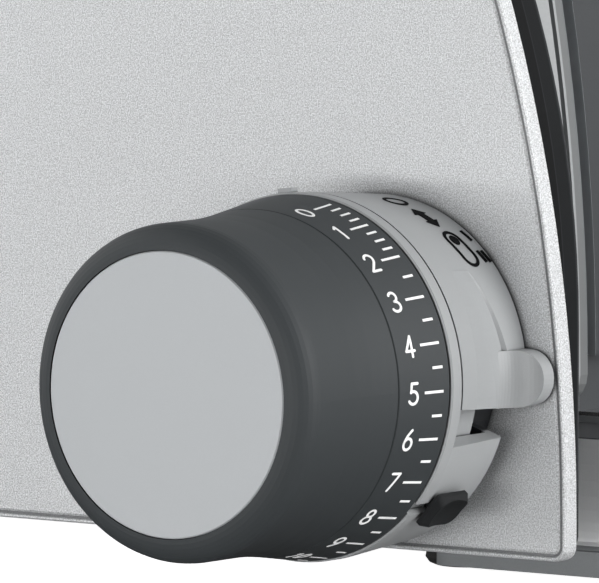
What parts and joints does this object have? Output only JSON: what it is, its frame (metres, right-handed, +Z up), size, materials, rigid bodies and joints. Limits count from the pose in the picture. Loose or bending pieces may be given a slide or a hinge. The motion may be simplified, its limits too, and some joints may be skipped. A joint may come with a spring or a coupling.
{
  "type": "electric food slicer",
  "caption": "Free-standing electric food slicer with a toothed round blade, a numbered knob that moves a stop plate to set the slice, a sliding food carriage and a remnant holder.",
  "frame": {"origin": "middle of the bounding box on the table plane", "axes": "+X to the user's right, +Y away from the user, +Z up"},
  "size_m": [0.2432, 0.345, 0.219],
  "materials": {
    "panel_silver": "fine-grain metallic silver paint",
    "frame_black": "fine matt",
    "base_dark": "fine matt",
    "console_light": "satin",
    "foot_rubber": "matt",
    "bright_steel": "ground",
    "screw_zinc": "zinc plated",
    "stop_metal": "satin anodised",
    "bush_bronze": "sintered",
    "copper": "varnished",
    "lamination": "dull",
    "carbon": "dull",
    "capacitor_blue": "gloss",
    "grip_dark": "satin",
    "cap_grey": "satin",
    "ring_grey": "satin",
    "nylon": "plain",
    "fan_grey": "plain",
    "carriage_dark": "fine grain"
  },
  "bodies": {
    "base": {"base_plate": "base_dark", "rail_block": "console_light", "guide_rod": "bright_steel", "rubber_feet": "foot_rubber", "base_screws": "screw_zinc", "side_panel": "panel_silver", "inner_frame": "frame_black", "gear_housing": "frame_black", "housing_screws": "screw_zinc", "blade_guard": "stop_metal", "shaft_bushes": "bush_bronze", "knob_bush": "bush_bronze", "switch_collar": "ring_grey", "guide_rods": "bright_steel", "motor_stator": "lamination", "motor_windings": "copper", "motor_brackets": "screw_zinc", "motor_bolts": "screw_zinc", "motor_bearings": "bush_bronze", "carbon_brushes": "carbon", "capacitor": "capacitor_blue", "micro_switch": "frame_black", "cable_gland": "frame_black", "stop_shroud": "frame_black"},
    "knob": {"knob_shell": "grip_dark", "knob_cap": "cap_grey", "scale_ring": "grip_dark", "knob_shaft": "bright_steel", "thread_cam": "nylon", "shaft_clip": "screw_zinc", "knob_screw": "screw_zinc"},
    "lever": {"switch_lever": "ring_grey", "switch_pin": "nylon"},
    "slider": {"lock_slider": "frame_black"},
    "stop": {"stop_plate": "stop_metal", "stop_backing": "stop_metal", "stop_carrier": "frame_black", "follower_arm": "frame_black", "cam_follower": "bright_steel", "stop_screws": "screw_zinc"},
    "cutter": {"blade": "bright_steel", "blade_hub": "bright_steel", "blade_lock": "frame_black", "blade_shaft": "bright_steel", "worm_wheel": "nylon"},
    "rotor": {"rotor_shaft": "bright_steel", "rotor_core": "lamination", "commutator": "copper", "cooling_fan": "fan_grey", "worm": "screw_zinc"},
    "carriage": {"carriage_tray": "carriage_dark", "carriage_sheet": "bright_steel", "carriage_wall": "carriage_dark", "slide_bearing": "nylon", "slide_pads": "nylon", "carriage_screws": "screw_zinc"},
    "holder": {"holder_saddle": "carriage_dark", "holder_plate": "carriage_dark", "holder_grip": "carriage_dark"}
  },
  "joints": [
    {"name": "knob_turn", "type": "hinge", "parent": "base", "child": "knob", "pos_m": [-0.0504, -0.1202, 0.0454], "axis": [-1, 0, 0], "range_deg": [0, 326.1]},
    {"name": "stop_slide", "type": "slide", "parent": "base", "child": "stop", "axis": [-1, 0, 0], "range_m": [0, 0.02129]},
    {"name": "switch_turn", "type": "hinge", "parent": "base", "child": "lever", "pos_m": [-0.0504, -0.1202, 0.0454], "axis": [1, 0, 0], "range_deg": [0, 8], "stiffness_Nm_per_rad": 0.6},
    {"name": "lock_turn", "type": "hinge", "parent": "base", "child": "slider", "pos_m": [-0.0504, -0.1202, 0.0454], "axis": [1, 0, 0], "range_deg": [0, 5]},
    {"name": "rotor_spin", "type": "hinge", "parent": "base", "child": "rotor", "pos_m": [-0.02125, 0.0625, 0.1491], "axis": [0, 1, 0], "continuous": true},
    {"name": "blade_spin", "type": "hinge", "parent": "base", "child": "cutter", "pos_m": [0.0136, 0.0625, 0.1126], "axis": [1, 0, 0], "continuous": true},
    {"name": "carriage_slide", "type": "slide", "parent": "base", "child": "carriage", "axis": [0, 1, 0], "range_m": [0, 0.175]},
    {"name": "holder_slide", "type": "slide", "parent": "carriage", "child": "holder", "axis": [-1, 0, 0], "range_m": [0, 0.06]}
  ],
  "couplings": [
    {"joint": "knob_turn", "follows": "stop_slide", "rad_per_m": 267.21},
    {"joint": "blade_spin", "follows": "rotor_spin", "ratio": 0.020833}
  ]
}
